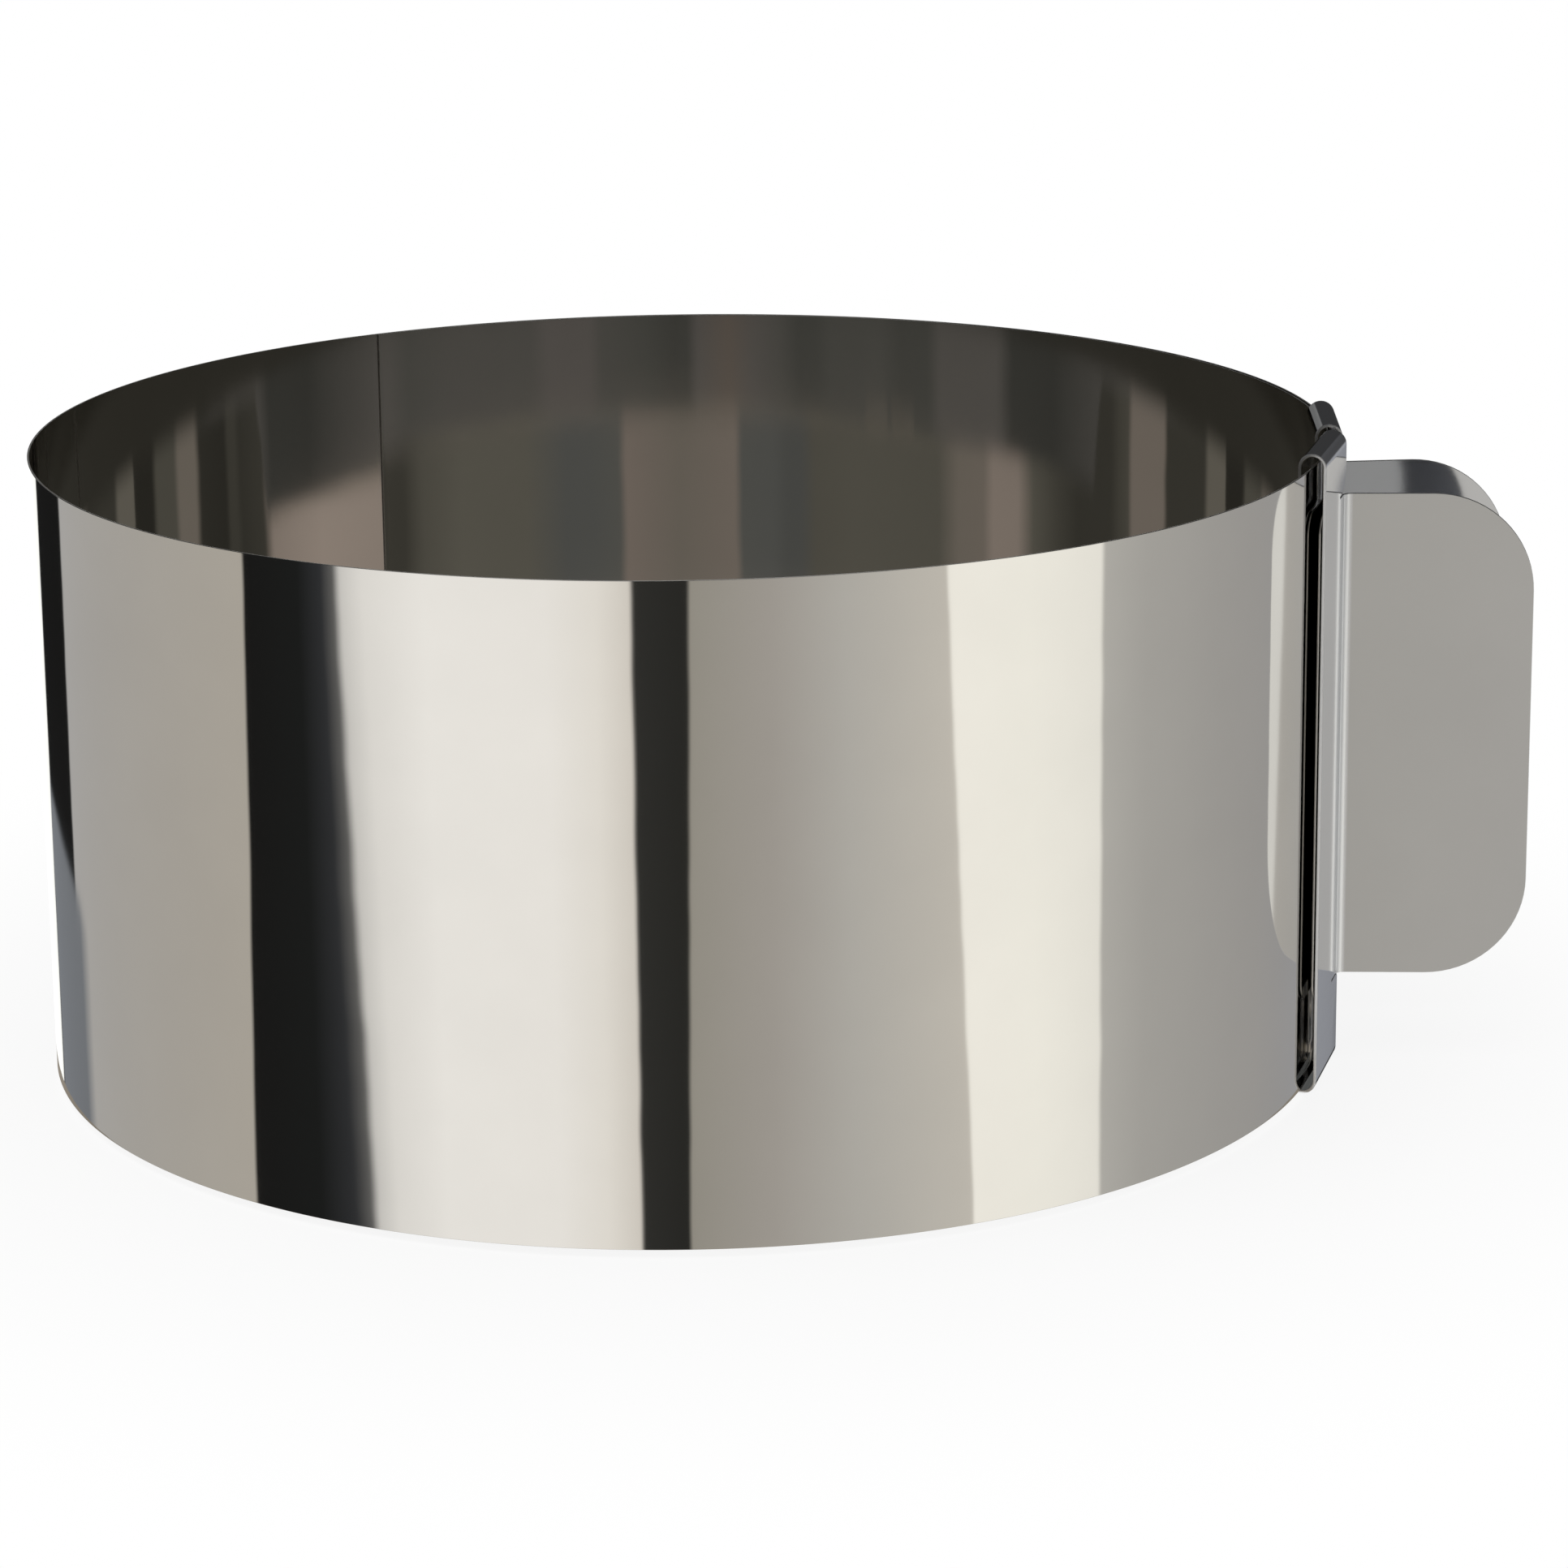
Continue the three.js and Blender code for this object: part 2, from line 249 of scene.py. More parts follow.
class CakeRingStrip(bpy.types.PropertyGroup):
    """Sizes of the rolled strip; angles count from +X towards the back."""

    radius: length("Radius", "Middle of the strip where it lies single", 123.46)
    gauge: length("Gauge", "Thickness of the strip", 0.4)
    edge: length("Edge round", "Rounding of the deburred edges", 0.07)
    outer_end: angle("Outer end", "Where the strip's outer end lies, under the front handle", -19.1)
    inner_end: angle("Inner end", "Where the strip's inner end lies, one turn further on", 480.7)
    joint: angle("Tail start", "Where the tail that follows the front handle starts", 176.0)
    lap_end: angle("Lap end", "Where the two layers stop lying on each other", 120.7)
    lap_relax: angle("Lap relax", "Arc over which the outer layer eases back to the ring", 80.0)
    layer_step: length("Layer step", "From the middle of one layer to that of the next", 0.7)
    inner_flare: length("Inner flare", "How far the inner end leans out onto the outer layer", 0.22)
    flare_arc: angle("Flare arc", "Arc over which it leans out", 25.0)
    spread: length("Spread", "Further stand-off of the outer end in its handle", 0.7)
    spread_from: angle("Spread from", "Where the outer end starts to close in", -14.2)
    spread_fade: angle("Spread fade", "Arc over which it closes in", 15.0)
    tongue_length: length("Tongue length", "Narrowed outer end of the strip", 15.0)
    tongue_corner: length("Tongue corner", "Rounding of the tongue's corners", 4.0)
    step: angle("Step", "Arc of one face of the rolled strip", 0.5)


class CakeRingHandle(bpy.types.PropertyGroup):
    """Sizes of a handle folded from sheet; both handles share them."""

    sheet: length("Sheet", "Thickness of the handle's sheet", 0.6)
    edge: length("Edge round", "Rounding of the cut edges", 0.1)
    flange_in: length("Flange inside", "Radius of the flange's inner face", 125.4)
    flange_length: length("Flange length", "Along the strip", 22.5)
    hook_width: length("Hook width", "Clear width inside a hook", 4.1)
    hook_leg: length("Hook leg", "Reach of a hook's inner leg past the rim", 6.0)
    hook_seat: length("Hook seat", "Room under the strip's lower edge", 0.999)
    hook_headroom: length("Hook headroom", "Room over the strip's upper rim", 1.949)
    front_reach: length("Front reach", "Flat length of the front tab past its bend", 34.3)
    rear_reach: length("Rear reach", "Flat length of the rear tab past its bend", 32.5)
    tab_height: length("Tab height", "Height of the tab", 94.5)
    tab_raise: length("Tab raise", "Tab's middle above the strip's middle", 3.4)
    tab_corner: length("Tab corner", "Rounding of the tab's outer corners", 19.0)
    bend_radius: length("Bend radius", "Inside of the bend between flange and tab", 2.0)
    slit: length("Slit", "Cut above and below the tab", 0.4)
    slit_stop: length("Slit stop", "Metal left before a slit", 16.0)
    upper_ear: length("Upper ear", "Rounded corner of the flange above the upper slit", 5.0)
    lower_ear: length("Lower ear", "Rounded corner of the flange below the lower slit", 0.6)
    bend_steps: IntProperty(name="Bend steps", description="Faces along a half round", default=24, min=4)
    front_angle: angle("Front angle", "Place of the front handle from +X", -14.2)
    front_tilt: angle("Front tilt", "Turn of the front handle on the strip", -2.4)
    front_lean: angle("Front lean", "How far the front tab stops short of a square bend", 12.5)
    rear_angle: angle("Rear angle", "Place of the rear handle from +X", -1.4)
    rear_tilt: angle("Rear tilt", "Turn of the rear handle on the strip", -1.5)
    rear_lean: angle("Rear lean", "How far the rear tab stops short of a square bend", 6.0)


class CakeRingFinish(bpy.types.PropertyGroup):
    """Colours and polish of the two steels."""

    strip_colour: colour("Strip colour", "Mirror-rolled strip", (0.60, 0.585, 0.555))
    strip_roughness: share("Strip roughness", "Polish of the strip", 0.046)
    strip_lines: share("Strip lines", "How much the rolling lines draw reflections out", 0.9)
    handle_colour: colour("Handle colour", "Handle sheet", (0.70, 0.708, 0.722))
    handle_roughness: share("Handle roughness", "Polish of the handle sheet", 0.08)
    edge_roughness: share("Edge roughness", "Sheared edges of strip and handles", 0.36)
    bend_roughness: share("Bend roughness", "Stretched metal in the bends of the tabs", 0.42)


class CakeRingStage(bpy.types.PropertyGroup):
    """Camera, floor and light."""

    lens: number("Lens", "Focal length on a 36 mm sensor", 120.04, unit="CAMERA")
    distance: length("Distance", "From the ring's middle to the camera", 1016.3)
    elevation: angle("Elevation", "Of the camera above the ring's middle", 14.98)
    aim_right: angle("Aim right", "Turn of the view to the right of the ring's middle", 1.081)
    aim_down: angle("Aim down", "Turn of the view below the ring's middle", 0.555)
    roll: angle("Roll", "Turn of the camera about its view", -0.641)
    floor_colour: colour("Floor colour", "Plain pale floor", (0.93, 0.93, 0.93))
    # colours of the glowing floor disc inside the ring, painted shade seen only in the steel
    shade_middle: colour("Shade middle", "Floor in the middle of the ring", (0.55, 0.53, 0.50))
    shade_edge: colour("Shade edge", "Floor in the shade close to the wall", (0.33, 0.295, 0.25))
    studio_level: number("Studio level", "Brightness of the softboxes", 1.33)
    studio_radius: length("Studio radius", "How far off the softboxes and cards stand", 1500.0)
    mirror_low: length("Mirrored from", "Lowest part of the studio that the outer wall mirrors", -517.0)
    mirror_high: length("Mirrored to", "Highest part of the studio that the outer wall mirrors", -205.0)


SETTINGS = (
    ("cake_ring_strip", CakeRingStrip),
    ("cake_ring_handle", CakeRingHandle),
    ("cake_ring_finish", CakeRingFinish),
    ("cake_ring_stage", CakeRingStage),
)


# Modelling helpers

def clamped(value):
    """A value held between 0 and 1."""
    return min(max(value, 0.0), 1.0)


def smoothstep(value, low, high):
    t = clamped((value - low) / (high - low))
    return t * t * (3 - 2 * t)


def start_clear():
    """Object mode with nothing selected."""
    if bpy.context.mode != "OBJECT":
        bpy.ops.object.mode_set(mode="OBJECT")
    bpy.ops.object.select_all(action="DESELECT")


def take_up(piece):
    """Makes a piece the only selected and active one."""
    start_clear()
    piece.select_set(True)
    bpy.context.view_layer.objects.active = piece


def upright_grid(name, low, high, columns):
    """A flat sheet in the x, z plane between two corners, facing -y, ready in edit mode."""
    start_clear()
    bpy.ops.mesh.primitive_grid_add(x_subdivisions=columns, y_subdivisions=1, size=1)
    piece = bpy.context.object
    piece.name = piece.data.name = name
    middle = [(a + b) / 2 for a, b in zip(low, high)]
    piece.matrix_world = (
        Matrix.Translation((middle[0], 0, middle[1]))
        @ Matrix.Rotation(math.pi / 2, 4, "X")
        @ Matrix.Diagonal((high[0] - low[0], high[1] - low[1], 1, 1))
    )
    bpy.ops.object.transform_apply()
    bpy.ops.object.mode_set(mode="EDIT")
    return piece


def pick(piece, kind, test):
    """Selects the vertices, edges or faces whose corners all pass the test, and nothing else."""
    bpy.context.tool_settings.mesh_select_mode = (kind == "verts", kind == "edges", kind == "faces")
    mesh = bmesh.from_edit_mesh(piece.data)
    for layer in (mesh.verts, mesh.edges, mesh.faces):
        for item in layer:
            item.select = False
    found = False
    for item in getattr(mesh, kind):
        corners = [item] if kind == "verts" else item.verts
        if all(test(v.co) for v in corners):
            item.select_set(True)
            found = True
    if not found:
        raise RuntimeError(f"{piece.name}: no {kind} found where they were expected")
    bmesh.update_edit_mesh(piece.data)


def near(value, target):
    return abs(value - target) < NEAR


def cut_picked(point, normal, **options):
    bpy.ops.mesh.bisect(plane_co=point, plane_no=normal, threshold=WELD, **options)


def cut_across(point, normal, **options):
    """Cuts the whole piece in edit mode along a plane."""
    bpy.ops.mesh.select_all(action="SELECT")
    cut_picked(point, normal, **options)


def pull(offset):
    bpy.ops.mesh.extrude_region_move(TRANSFORM_OT_translate={"value": offset})


def give_thickness(piece, thickness, edge):
    """Turns a sheet into metal of its gauge with softened edges."""
    bpy.ops.mesh.select_all(action="SELECT")
    bpy.ops.mesh.remove_doubles(threshold=WELD)
    bpy.ops.mesh.normals_make_consistent(inside=False)
    take_up(piece)
    wall = piece.modifiers.new("wall", "SOLIDIFY")
    wall.thickness, wall.offset = thickness, 0.0
    wall.use_even_offset = True
    for _ in range(2):  # a second, empty slot tells the sheared edges from the faces
        piece.data.materials.append(None)
    wall.material_offset_rim = 1
    bpy.ops.object.modifier_apply(modifier=wall.name)
    rounding = piece.modifiers.new("rounding", "BEVEL")
    rounding.width, rounding.segments = edge, EDGE_STEPS
    rounding.limit_method, rounding.angle_limit = "ANGLE", SHEARED_OVER
    bpy.ops.object.modifier_apply(modifier=rounding.name)
    faces = piece.data.polygons
    sheared = [float(face.material_index == 1) for face in faces]
    piece.data.attributes.new(CUT_EDGE, "FLOAT", "FACE").data.foreach_set("value", sheared)
    faces.foreach_set("material_index", [0] * len(faces))


def smooth_metal(piece):
    """Smooth bends with flat faces that stay flat in a mirror finish."""
    take_up(piece)
    bpy.ops.object.shade_smooth_by_angle(angle=SMOOTH_UNDER)
    flats = piece.modifiers.new("flats", "WEIGHTED_NORMAL")
    flats.mode, flats.weight, flats.keep_sharp = "FACE_AREA", 100, True
    bpy.ops.object.modifier_apply(modifier=flats.name)


def wear(piece, material):
    piece.data.materials.clear()
    piece.data.materials.append(material)


# The strip

def strip_radius(s, turn):
    """Middle of the strip at an angle: stood off in its handle, lapped, then single."""
    lap = 1 - smoothstep(turn, s.lap_end, s.lap_end + s.lap_relax)
    closed = clamped((turn - s.spread_from) / s.spread_fade)
    flare = smoothstep(turn, s.inner_end - s.flare_arc, s.inner_end)
    return s.radius + s.layer_step * lap + s.spread * (1 - closed) ** 2 + s.inner_flare * flare


def cut_strip(s, tab_low, tab_high):
    """The whole strip, flat: x is its length, with the tongue cut at its outer end."""
    tip, end = s.outer_end * s.radius, s.inner_end * s.radius
    columns = math.ceil((s.inner_end - s.outer_end) / s.step)
    strip = upright_grid("flat_strip", (tip, STRIP_LOW), (end, STRIP_HIGH), columns)
    root = tip + s.tongue_length
    for height in (tab_low, tab_high):
        cut_across((0, 0, height), (0, 0, 1))
    cut_across((root, 0, 0), (1, 0, 0))
    for beside in (lambda p: p.z > tab_high - NEAR, lambda p: p.z < tab_low + NEAR):
        pick(strip, "faces", lambda p: p.x < root + NEAR and beside(p))
        bpy.ops.mesh.delete(type="FACE")
    corner = s.tongue_corner
    for side, height in ((1, tab_high), (-1, tab_low)):
        centre = Vector((tip + corner, 0, height - side * corner))
        for degrees in TONGUE_CUTS:
            out = Vector((math.cos(math.radians(degrees)), 0, side * math.sin(math.radians(degrees))))
            pick(strip, "faces", lambda p: p.x < tip + 2 * corner)
            cut_picked(centre + out * corner, out, clear_outer=True)
    give_thickness(strip, s.gauge, s.edge)
    run = strip.data.uv_layers.new(name=RUN_MAP)
    for loop, spot in zip(strip.data.loops, run.data):
        place = strip.data.vertices[loop.vertex_index].co
        spot.uv = place.x, place.z
    return strip


def part_of_strip(strip, name, at, keep_outer_end):
    """A copy of the flat strip, cut off square at one place."""
    take_up(strip)
    bpy.ops.object.duplicate()
    piece = bpy.context.object
    piece.name = piece.data.name = name
    bpy.ops.object.mode_set(mode="EDIT")
    cut_across(
        (at, 0, 0), (1, 0, 0), use_fill=True, clear_outer=keep_outer_end, clear_inner=not keep_outer_end
    )
    bpy.ops.object.mode_set(mode="OBJECT")
    return piece


def roll(piece, s):
    """Rolls the flat strip round the ring's axis."""
    for v in piece.data.vertices:
        turn = v.co.x / s.radius
        r = strip_radius(s, turn) - v.co.y
        v.co = (AXIS.x + r * math.cos(turn), AXIS.y + r * math.sin(turn), v.co.z)
    piece.data.update()
    smooth_metal(piece)


# The handles

def tab_span(h):
    """Lower and upper edge of a tab."""
    middle = (STRIP_LOW + STRIP_HIGH) / 2 + h.tab_raise
    return middle - h.tab_height / 2, middle + h.tab_height / 2


def fold_handle(name, h, lean, reach):
    """One handle folded from its sheet at the +X side of the ring, y along the strip."""
    half = h.flange_length / 2
    inside = h.hook_width / 2
    sheet_x = h.flange_in + h.sheet / 2
    hook_x = h.flange_in - inside
    over = STRIP_HIGH + h.hook_headroom - inside
    under = STRIP_LOW - h.hook_seat + inside
    tab_low, tab_high = tab_span(h)
    stop = -half + h.slit_stop
    bend_at = half - h.bend_radius - h.sheet

    # the stretch of flange in front of the slits, marked where tab, slits and ears begin
    handle = upright_grid(name, (-half, under), (stop, over), 1)
    for height in (tab_low - h.slit, tab_low, tab_high, tab_high + h.slit):
        cut_across((0, 0, height), (0, 0, 1))
    bpy.ops.object.mode_set(mode="OBJECT")
    handle.matrix_world = Matrix.Translation((sheet_x, 0, 0)) @ Matrix.Rotation(math.pi / 2, 4, "Z")
    bpy.ops.object.transform_apply()
    bpy.ops.object.mode_set(mode="EDIT")

    # the tab's root and the two ears, pulled back from it
    pick(handle, "edges", lambda p: near(p.y, stop) and tab_low - NEAR < p.z < tab_high + NEAR)
    pull((0, bend_at - stop, 0))
    for ear in (lambda p: p.z > tab_high + h.slit - NEAR, lambda p: p.z < tab_low - h.slit + NEAR):
        pick(handle, "edges", lambda p: near(p.y, stop) and ear(p))
        pull((0, half - stop, 0))
    for height, corner in ((tab_high + h.slit, h.upper_ear), (tab_low - h.slit, h.lower_ear)):
        pick(handle, "verts", lambda p: near(p.y, half) and near(p.z, height))
        bpy.ops.mesh.bevel(affect="VERTICES", offset=corner, segments=EAR_STEPS)

    # the hooks: half a round over the rim and under the lower edge, then a short leg
    leg = h.hook_leg + h.hook_headroom - inside
    foot = h.hook_leg + h.hook_seat - inside
    for height, turn, drop in ((over, 1, -leg), (under, -1, foot)):
        pick(handle, "edges", lambda p: near(p.z, height) and near(p.x, sheet_x))
        bpy.ops.mesh.spin(
            steps=h.bend_steps, angle=math.pi, center=(hook_x, 0, height), axis=(0, turn, 0)
        )
        pull((0, 0, drop))

    # the tab, turned out past the rear edge and stopping short of square
    pick(handle, "edges", lambda p: near(p.y, bend_at) and tab_low - NEAR < p.z < tab_high + NEAR)
    bend_middle = sheet_x + h.bend_radius + h.sheet / 2
    turned = math.pi / 2 - lean
    bpy.ops.mesh.spin(
        steps=h.bend_steps // 2, angle=turned, center=(bend_middle, bend_at, 0), axis=(0, 0, 1)
    )
    pull((reach * math.cos(lean), reach * math.sin(lean), 0))
    tip = bend_middle + (reach - h.sheet) * math.cos(lean) - (h.bend_radius + h.sheet) * math.sin(lean)
    pick(handle, "verts", lambda p: p.x > tip)
    bpy.ops.mesh.bevel(affect="VERTICES", offset=h.tab_corner, segments=CORNER_STEPS)
    give_thickness(handle, h.sheet, h.edge)
    mark_bend(handle, h, Vector((bend_middle, bend_at)), turned)
    smooth_metal(handle)
    return handle


def mark_bend(handle, h, centre, whole):
    """Notes where the bend of the tab has stretched and dulled the sheet."""
    tab_low, tab_high = tab_span(h)
    reach = h.bend_radius + h.sheet * (1 + BEND_MARGIN)
    stretch = handle.data.attributes.new(DRAWN, "FLOAT", "POINT")
    for v, spot in zip(handle.data.vertices, stretch.data):
        arm = v.co.xy - centre
        if arm.length < reach and tab_low - NEAR < v.co.z < tab_high + NEAR:
            turned = math.atan2(arm.y, -arm.x)
            spot.value = math.sin(math.pi * clamped(turned / whole))


def set_on_strip(handle, h, place, tilt):
    """Turns a handle on the strip and carries it to its place round the ring."""
    middle = Matrix.Translation((h.flange_in + h.sheet / 2, 0, 0))
    handle.matrix_world = (
        Matrix.Translation((AXIS.x, AXIS.y, 0))
        @ Matrix.Rotation(place, 4, "Z")
        @ middle
        @ Matrix.Rotation(tilt, 4, "Z")
        @ middle.inverted()
    )
    take_up(handle)
    bpy.ops.object.transform_apply()


# Shader helpers

def node(tree, kind, links=None, **settings):
    """Adds a shader node, sets its properties and inputs, and links inputs by name."""
    made = tree.nodes.new(kind)
    for key, value in settings.items():
        if hasattr(made, key):
            setattr(made, key, value)
        else:
            made.inputs[key.replace("_", " ")].default_value = value
    for key, socket in (links or {}).items():
        tree.links.new(socket, made.inputs[key])
    return made


def feed(tree, slot, value):
    """Links a socket to an input, or sets the input to plain numbers."""
    if isinstance(value, bpy.types.NodeSocket):
        tree.links.new(value, slot)
    else:
        slot.default_value = value


def opaque(value):
    """A colour with its alpha."""
    return (*value, 1.0)


def empty_material(name):
    material = bpy.data.materials.new(name)
    material.use_nodes = True
    material.node_tree.nodes.clear()
    return material


def ranged(tree, value, low, high, soft=False):
    """Where a value lies between two others, from 0 to 1."""
    made = node(tree, "ShaderNodeMapRange", {"Value": value})
    made.interpolation_type = "SMOOTHSTEP" if soft else "LINEAR"
    feed(tree, made.inputs["From Min"], low)
    feed(tree, made.inputs["From Max"], high)
    return made.outputs[0]


def between(tree, part, low, high):
    """The value that lies a part, from 0 to 1, of the way between two others."""
    made = node(tree, "ShaderNodeMapRange", {"Value": part})
    feed(tree, made.inputs["To Min"], low)
    feed(tree, made.inputs["To Max"], high)
    return made.outputs[0]


def math_node(tree, operation, *values):
    """One step of arithmetic on sockets and numbers."""
    made = node(tree, "ShaderNodeMath", operation=operation)
    for slot, value in zip(made.inputs, values):
        feed(tree, slot, value)
    return made.outputs[0]


def mixed_colour(tree, part, first, second):
    """Two colours, sockets or plain, mixed by a part from 0 to 1."""
    made = node(tree, "ShaderNodeMix", {"Factor": part}, data_type="RGBA")
    for slot, value in zip((made.inputs[6], made.inputs[7]), (first, second)):
        feed(tree, slot, value if isinstance(value, bpy.types.NodeSocket) else opaque(value))
    return made.outputs[2]


def stretched(tree, place, scale):
    return node(tree, "ShaderNodeMapping", {"Vector": place}, Scale=scale).outputs[0]


def noise(tree, place, detail, roughness, scale=1.0):
    made = node(
        tree, "ShaderNodeTexNoise", {"Vector": place}, Scale=scale, Detail=detail, Roughness=roughness
    )
    return made.outputs["Fac"]


def bumped(tree, height, depth, **normal):
    """A surface normal that follows a height, over another normal where one is given."""
    links = {"Height": height, **normal}
    return node(tree, "ShaderNodeBump", links, Strength=1.0, Distance=depth).outputs[0]


# The two steels

def steel(material, place, tint, roughness, grain, waves, grain_depth, wave_depth, **look):
    """Bright rolled steel: fine rolling lines, a slow waviness and slightly uneven polish."""
    tree = material.node_tree
    lines = noise(tree, stretched(tree, place, grain), detail=3.0, roughness=0.6)
    sway = noise(tree, stretched(tree, place, waves), detail=1.0, roughness=0.4)
    cloud = noise(tree, place, detail=4.0, roughness=0.55, scale=CLOUD_SCALE)
    dim = [channel * CLOUD_DIM for channel in tint]
    shade = mixed_colour(tree, ranged(tree, cloud, *CLOUD_RANGE), dim, tint)
    polish = between(tree, lines, roughness * (1 - POLISH_SPREAD), roughness * (1 + POLISH_SPREAD))
    wavy = bumped(tree, sway, wave_depth)
    lined = bumped(tree, lines, grain_depth, Normal=wavy)
    body = node(
        tree, "ShaderNodeBsdfPrincipled",
        {"Base Color": shade, "Roughness": polish, "Normal": lined},
        Metallic=1.0, **look,
    )
    node(tree, "ShaderNodeOutputMaterial", {"Surface": body.outputs[0]})
    return body


def dull_where(tree, body, places):
    """Gives the places that a mesh attribute marks a roughness of their own."""
    polish = body.inputs["Roughness"].links[0].from_socket
    for mark, roughness in places:
        there = node(tree, "ShaderNodeAttribute", attribute_name=mark).outputs["Fac"]
        duller = node(tree, "ShaderNodeMix", {0: there, 2: polish})
        duller.inputs[3].default_value = roughness
        polish = duller.outputs[0]
    tree.links.new(polish, body.inputs["Roughness"])


def strip_steel(finish):
    """Mirror-rolled strip: its rolling lines run along it and draw reflections out upright."""
    material = empty_material("strip_steel")
    tree = material.node_tree
    place = node(tree, "ShaderNodeUVMap", uv_map=RUN_MAP).outputs[0]
    body = steel(
        material, place, finish.strip_colour, finish.strip_roughness,
        grain=(9.0, 2600.0, 1.0), waves=(36.0, 60.0, 1.0), grain_depth=1e-7, wave_depth=4e-5,
        Anisotropic=finish.strip_lines, Anisotropic_Rotation=0.25,
    )
    along = node(tree, "ShaderNodeTangent", direction_type="UV_MAP", uv_map=RUN_MAP)
    tree.links.new(along.outputs[0], body.inputs["Tangent"])
    dull_where(tree, body, ((CUT_EDGE, finish.edge_roughness),))
    return material


def handle_steel(finish):
    """Polished sheet of the handles, duller on its cut edges and in the bends of the tabs."""
    material = empty_material("handle_steel")
    tree = material.node_tree
    place = node(tree, "ShaderNodeTexCoord").outputs["Object"]
    body = steel(
        material, place, finish.handle_colour, finish.handle_roughness,
        grain=(60.0, 60.0, 1900.0), waves=(30.0, 30.0, 16.0), grain_depth=1e-7, wave_depth=2e-5,
    )
    dull_where(tree, body, ((DRAWN, finish.bend_roughness), (CUT_EDGE, finish.edge_roughness)))
    return material


# Places round the ring

def share_at(degrees):
    """A place counted from the camera's side, as a share of the whole turn."""
    return degrees / TURN + 0.5


def ring_centred(tree):
    """Place measured from the ring's axis, split into x, y and z."""
    place = node(tree, "ShaderNodeTexCoord").outputs["Object"]
    moved = node(tree, "ShaderNodeMapping", {"Vector": place}, Location=(-AXIS.x, -AXIS.y, 0.0))
    parts = node(tree, "ShaderNodeSeparateXYZ", {"Vector": moved.outputs[0]})
    return parts.outputs


def round_share(tree, parts):
    """Angle about the ring's axis from the camera's side, as a share of the whole turn."""
    turn = math_node(tree, "ARCTAN2", parts["X"], math_node(tree, "MULTIPLY", parts["Y"], -1.0))
    return ranged(tree, turn, -math.pi, math.pi)


def axis_distance(tree, parts):
    """Distance from the ring's axis."""
    squares = [math_node(tree, "MULTIPLY", parts[axis], parts[axis]) for axis in ("X", "Y")]
    return math_node(tree, "SQRT", math_node(tree, "ADD", *squares))


def ramp(tree, here, stops):
    """Colours laid round the turn at the given degrees."""
    made = node(tree, "ShaderNodeValToRGB", {"Fac": here})
    elements = made.color_ramp.elements
    while len(elements) < len(stops):
        elements.new(1.0)
    for element, (degrees, value) in zip(elements, stops):
        element.position = share_at(degrees)
        element.color = opaque(value)
    return made.outputs["Color"]


def colour_at(stops, degrees):
    """The colour of a row of stops at one place."""
    if degrees <= stops[0][0]:
        return stops[0][1]
    for (start, first), (end, last) in zip(stops, stops[1:]):
        if degrees <= end:
            t = (degrees - start) / (end - start)
            return tuple(a + (b - a) * t for a, b in zip(first, last))
    return stops[-1][1]


def fine_ramp(tree, here, stops):
    """The same laid by quarters of the turn, for more stops than one ramp holds, with crisp edges."""
    light = None
    for start in (-2 * QUARTER, -QUARTER, 0.0, QUARTER):
        end = start + QUARTER
        inner = [stop for stop in stops if start < stop[0] < end]
        ends = [(at, colour_at(stops, at)) for at in (start, end)]
        stops_here = (ends[0], *inner, ends[1])
        quarter = [((at - start) * TURN / QUARTER - TURN / 2, value) for at, value in stops_here]
        low, high = share_at(start), share_at(end)
        part = ramp(tree, ranged(tree, here, low, high), quarter)
        if light is None:
            light = part
        else:
            past = math_node(tree, "GREATER_THAN", here, low)
            light = mixed_colour(tree, past, light, part)
    return light


# Stage materials

def stage_surface(material, shader):
    """Closes a stage material, whose glow isn't sampled as a lamp."""
    node(material.node_tree, "ShaderNodeOutputMaterial", {"Surface": shader.outputs[0]})
    material.cycles.emission_sampling = "NONE"
    return material


def card_shift(tree, here, height):
    """How far the leaning edges of the cards lie from their place at mid-height."""
    leans = [(at, [0.5 + lean / LEAN_LIMIT / 2] * 3) for at, lean in STUDIO_LEAN]
    lean = math_node(tree, "SUBTRACT", ramp(tree, here, leans), 0.5)
    shift = math_node(tree, "MULTIPLY", lean, math_node(tree, "SUBTRACT", height, 0.5))
    return math_node(tree, "MULTIPLY", shift, LEAN_LIMIT * 2 / TURN)


def below_flag(tree, here, z):
    """1 in the gap under the black flag at the far left, 0 elsewhere."""
    past_left = math_node(tree, "SUBTRACT", here, share_at(FLAG_FROM))
    rise = math_node(tree, "MULTIPLY_ADD", past_left, FLAG_SLANT, z)
    gap = ranged(tree, rise, FLAG_FOOT + FLAG_SOFT, FLAG_FOOT - FLAG_SOFT)
    for fade in (FLAG_RIGHT_FADE, FLAG_LEFT_FADE):
        side = ranged(tree, here, *(share_at(degrees) for degrees in fade))
        gap = math_node(tree, "MULTIPLY", gap, side)
    return gap


